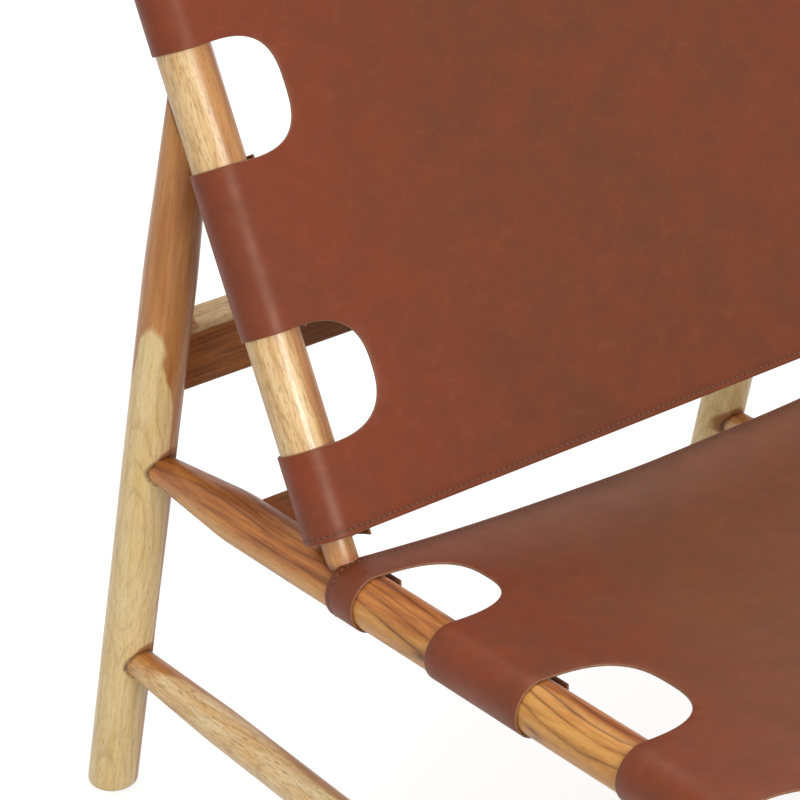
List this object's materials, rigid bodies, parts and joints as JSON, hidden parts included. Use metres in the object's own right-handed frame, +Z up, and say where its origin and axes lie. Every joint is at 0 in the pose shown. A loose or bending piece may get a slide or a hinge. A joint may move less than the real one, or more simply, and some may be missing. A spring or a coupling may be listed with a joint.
{
  "type": "sling lounge chair",
  "caption": "Low armless lounge chair with round-section teak side frames, flat cross rails and saddle-leather back and seat slings looped round the frame.",
  "frame": {"origin": "on the floor, under the middle of the bounding box", "axes": "+Z up; the chair faces -Y; seen from the front, looking along +Y, +X is to the right; the chair is symmetric about the plane X = 0"},
  "size_m": [0.6806, 0.9055, 0.7643],
  "materials": {
    "teak": "satin, oiled",
    "saddle_leather": "satin, smooth saddle leather",
    "brass": "satin"
  },
  "bodies": {
    "root": {"rear_leg_left": "teak", "rear_leg_right": "teak", "front_leg_left": "teak", "front_leg_right": "teak", "back_post_left": "teak", "back_post_right": "teak", "seat_rail_left": "teak", "seat_rail_right": "teak", "side_stretcher_left": "teak", "side_stretcher_right": "teak", "upper_back_rail": "teak", "lower_back_rail": "teak", "front_rail": "teak", "back_sling": "saddle_leather", "seat_sling": "saddle_leather", "back_tack_left_1": "brass", "back_tack_left_2": "brass", "back_tack_left_3": "brass", "back_tack_left_4": "brass", "back_tack_left_5": "brass", "back_tack_left_6": "brass", "back_tack_right_1": "brass", "back_tack_right_2": "brass", "back_tack_right_3": "brass", "back_tack_right_4": "brass", "back_tack_right_5": "brass", "back_tack_right_6": "brass", "seat_tack_left_1": "brass", "seat_tack_left_2": "brass", "seat_tack_left_3": "brass", "seat_tack_left_4": "brass", "seat_tack_left_5": "brass", "seat_tack_left_6": "brass", "seat_tack_right_1": "brass", "seat_tack_right_2": "brass", "seat_tack_right_3": "brass", "seat_tack_right_4": "brass", "seat_tack_right_5": "brass", "seat_tack_right_6": "brass"}
  },
  "joints": []
}
